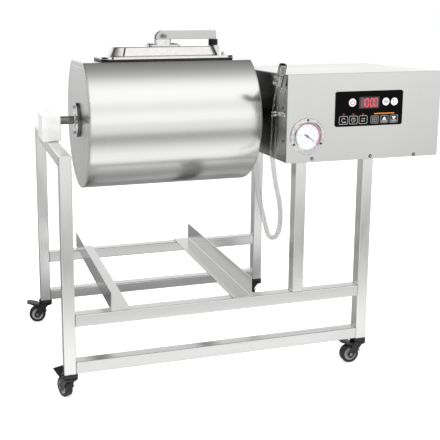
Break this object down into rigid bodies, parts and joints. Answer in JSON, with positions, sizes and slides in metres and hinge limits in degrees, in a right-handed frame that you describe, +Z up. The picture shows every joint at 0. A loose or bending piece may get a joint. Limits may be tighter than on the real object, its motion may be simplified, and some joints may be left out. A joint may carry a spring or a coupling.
{
  "type": "meat vacuum tumbler",
  "caption": "Vacuum tumbler for marinating meat: a D-shaped steel drum with a clamped lid, turned by a motor in a side housing on a wheeled square-tube stand.",
  "frame": {"origin": "on the floor under the middle of the machine's outline, without its hose and coupler", "axes": "+X along the drum's axis from its bearing block to the drive housing, +Y from the control panel side to the back, +Z up"},
  "size_m": [0.8744, 0.476, 0.7506],
  "materials": {
    "satin_steel": "fine satin grain",
    "polished_steel": "polished stainless steel",
    "frame_steel": "satin grain along the tubes",
    "zinc": "zinc-plated pressed steel",
    "cast_metal": "cast and painted machinery",
    "white_plastic": "machined white engineering plastic",
    "black_plastic": "black moulded plastic",
    "black_rubber": "black rubber",
    "dial_white": "white printed dial",
    "clear_glass": "clear window",
    "clear_hose": "clear flexible plastic hose"
  },
  "bodies": {
    "frame": {"front_left_leg": "frame_steel", "back_left_leg": "frame_steel", "left_top_beam": "frame_steel", "front_right_leg": "frame_steel", "front_middle_post": "frame_steel", "back_right_leg": "frame_steel", "housing_carrier_beam": "frame_steel", "front_bottom_rail": "frame_steel", "front_middle_rail": "frame_steel", "back_bottom_rail": "frame_steel", "back_middle_rail": "frame_steel", "left_tray_angle": "satin_steel", "right_tray_angle": "satin_steel", "bearing_block": "white_plastic", "housing_floor": "satin_steel", "housing_cover": "satin_steel", "housing_front": "satin_steel", "control_panel": "black_plastic", "power_inlet": "black_plastic", "gauge_case": "polished_steel", "gauge_glass": "clear_glass", "gauge_dial": "dial_white", "gear_motor": "cast_metal", "vacuum_pump": "cast_metal", "vacuum_hose": "clear_hose", "hose_port": "polished_steel", "hose_clip": "satin_steel", "hose_coupler": "polished_steel", "front_left_caster_seat": "black_plastic", "front_right_caster_seat": "black_plastic", "back_left_caster_seat": "black_plastic", "back_right_caster_seat": "black_plastic"},
    "drum": {"drum_shell": "satin_steel", "drum_left_end": "satin_steel", "drum_right_end": "satin_steel", "left_hub": "polished_steel", "right_hub": "polished_steel", "paddle_1": "satin_steel", "paddle_2": "satin_steel", "paddle_3": "satin_steel"},
    "lid": {"lid": "polished_steel", "lid_gasket": "black_rubber", "vacuum_nipple": "polished_steel", "lever_base": "polished_steel", "lever_rest": "black_rubber"},
    "lever": {"clamp_lever": "satin_steel"},
    "valve": {"relief_valve": "polished_steel"},
    "needle": {"gauge_needle": "black_plastic"},
    "front_left_swivel": {"front_left_caster_fork": "zinc"},
    "front_left_wheel": {"front_left_caster_wheel": "black_rubber"},
    "front_left_pedal": {"front_left_caster_pedal": "black_plastic"},
    "front_right_swivel": {"front_right_caster_fork": "zinc"},
    "front_right_wheel": {"front_right_caster_wheel": "black_rubber"},
    "front_right_pedal": {"front_right_caster_pedal": "black_plastic"},
    "back_left_swivel": {"back_left_caster_fork": "zinc"},
    "back_left_wheel": {"back_left_caster_wheel": "black_rubber"},
    "back_left_pedal": {"back_left_caster_pedal": "black_plastic"},
    "back_right_swivel": {"back_right_caster_fork": "zinc"},
    "back_right_wheel": {"back_right_caster_wheel": "black_rubber"},
    "back_right_pedal": {"back_right_caster_pedal": "black_plastic"}
  },
  "joints": [
    {"name": "drum_spin", "type": "hinge", "parent": "frame", "child": "drum", "pos_m": [-0.1358, 0.0018, 0.5546], "axis": [1, 0, 0], "continuous": true},
    {"name": "lid_lift", "type": "slide", "parent": "drum", "child": "lid", "axis": [0, 0, 1], "range_m": [0, 0.12]},
    {"name": "lever_pivot", "type": "hinge", "parent": "lid", "child": "lever", "pos_m": [-0.1288, 0.0018, 0.7383], "axis": [0, -1, 0], "range_deg": [0, 105]},
    {"name": "valve_slide", "type": "slide", "parent": "lid", "child": "valve", "axis": [0, 0, -1], "range_m": [0, 0.0041]},
    {"name": "needle_turn", "type": "hinge", "parent": "frame", "child": "needle", "pos_m": [0.1207, -0.2352, 0.5315], "axis": [0, -1, 0], "range_deg": [0, 247], "stiffness_Nm_per_rad": 0.0005},
    {"name": "front_left_swivel_turn", "type": "hinge", "parent": "frame", "child": "front_left_swivel", "pos_m": [-0.3888, -0.2097, 0.05], "axis": [0, 0, 1], "continuous": true},
    {"name": "front_left_wheel_roll", "type": "hinge", "parent": "front_left_swivel", "child": "front_left_wheel", "pos_m": [-0.39667, -0.19023, 0.021], "axis": [-0.9272, -0.3746, 0], "continuous": true},
    {"name": "front_left_pedal_press", "type": "hinge", "parent": "front_left_swivel", "child": "front_left_pedal", "pos_m": [-0.39367, -0.19765, 0.0457], "axis": [-0.9272, -0.3746, 0], "range_deg": [0, 8]},
    {"name": "front_right_swivel_turn", "type": "hinge", "parent": "frame", "child": "front_right_swivel", "pos_m": [0.2732, -0.2097, 0.05], "axis": [0, 0, 1], "continuous": true},
    {"name": "front_right_wheel_roll", "type": "hinge", "parent": "front_right_swivel", "child": "front_right_wheel", "pos_m": [0.25221, -0.20897, 0.021], "axis": [-0.0349, -0.9994, 0], "continuous": true},
    {"name": "front_right_pedal_press", "type": "hinge", "parent": "front_right_swivel", "child": "front_right_pedal", "pos_m": [0.26021, -0.20925, 0.0457], "axis": [-0.0349, -0.9994, 0], "range_deg": [0, 8]},
    {"name": "back_left_swivel_turn", "type": "hinge", "parent": "frame", "child": "back_left_swivel", "pos_m": [-0.3888, 0.2133, 0.05], "axis": [0, 0, 1], "continuous": true},
    {"name": "back_left_wheel_roll", "type": "hinge", "parent": "back_left_swivel", "child": "back_left_wheel", "pos_m": [-0.4096, 0.21622, 0.021], "axis": [-0.1392, -0.9903, 0], "continuous": true},
    {"name": "back_left_pedal_press", "type": "hinge", "parent": "back_left_swivel", "child": "back_left_pedal", "pos_m": [-0.40167, 0.21511, 0.0457], "axis": [-0.1392, -0.9903, 0], "range_deg": [0, 8]},
    {"name": "back_right_swivel_turn", "type": "hinge", "parent": "frame", "child": "back_right_swivel", "pos_m": [0.1982, 0.2133, 0.05], "axis": [0, 0, 1], "continuous": true},
    {"name": "back_right_wheel_roll", "type": "hinge", "parent": "back_right_swivel", "child": "back_right_wheel", "pos_m": [0.17792, 0.21874, 0.021], "axis": [-0.2588, -0.9659, 0], "continuous": true},
    {"name": "back_right_pedal_press", "type": "hinge", "parent": "back_right_swivel", "child": "back_right_pedal", "pos_m": [0.18564, 0.21666, 0.0457], "axis": [-0.2588, -0.9659, 0], "range_deg": [0, 8]}
  ],
  "couplings": [
    {"joint": "valve_slide", "follows": "lever_pivot", "m_per_rad": 0.00218}
  ]
}
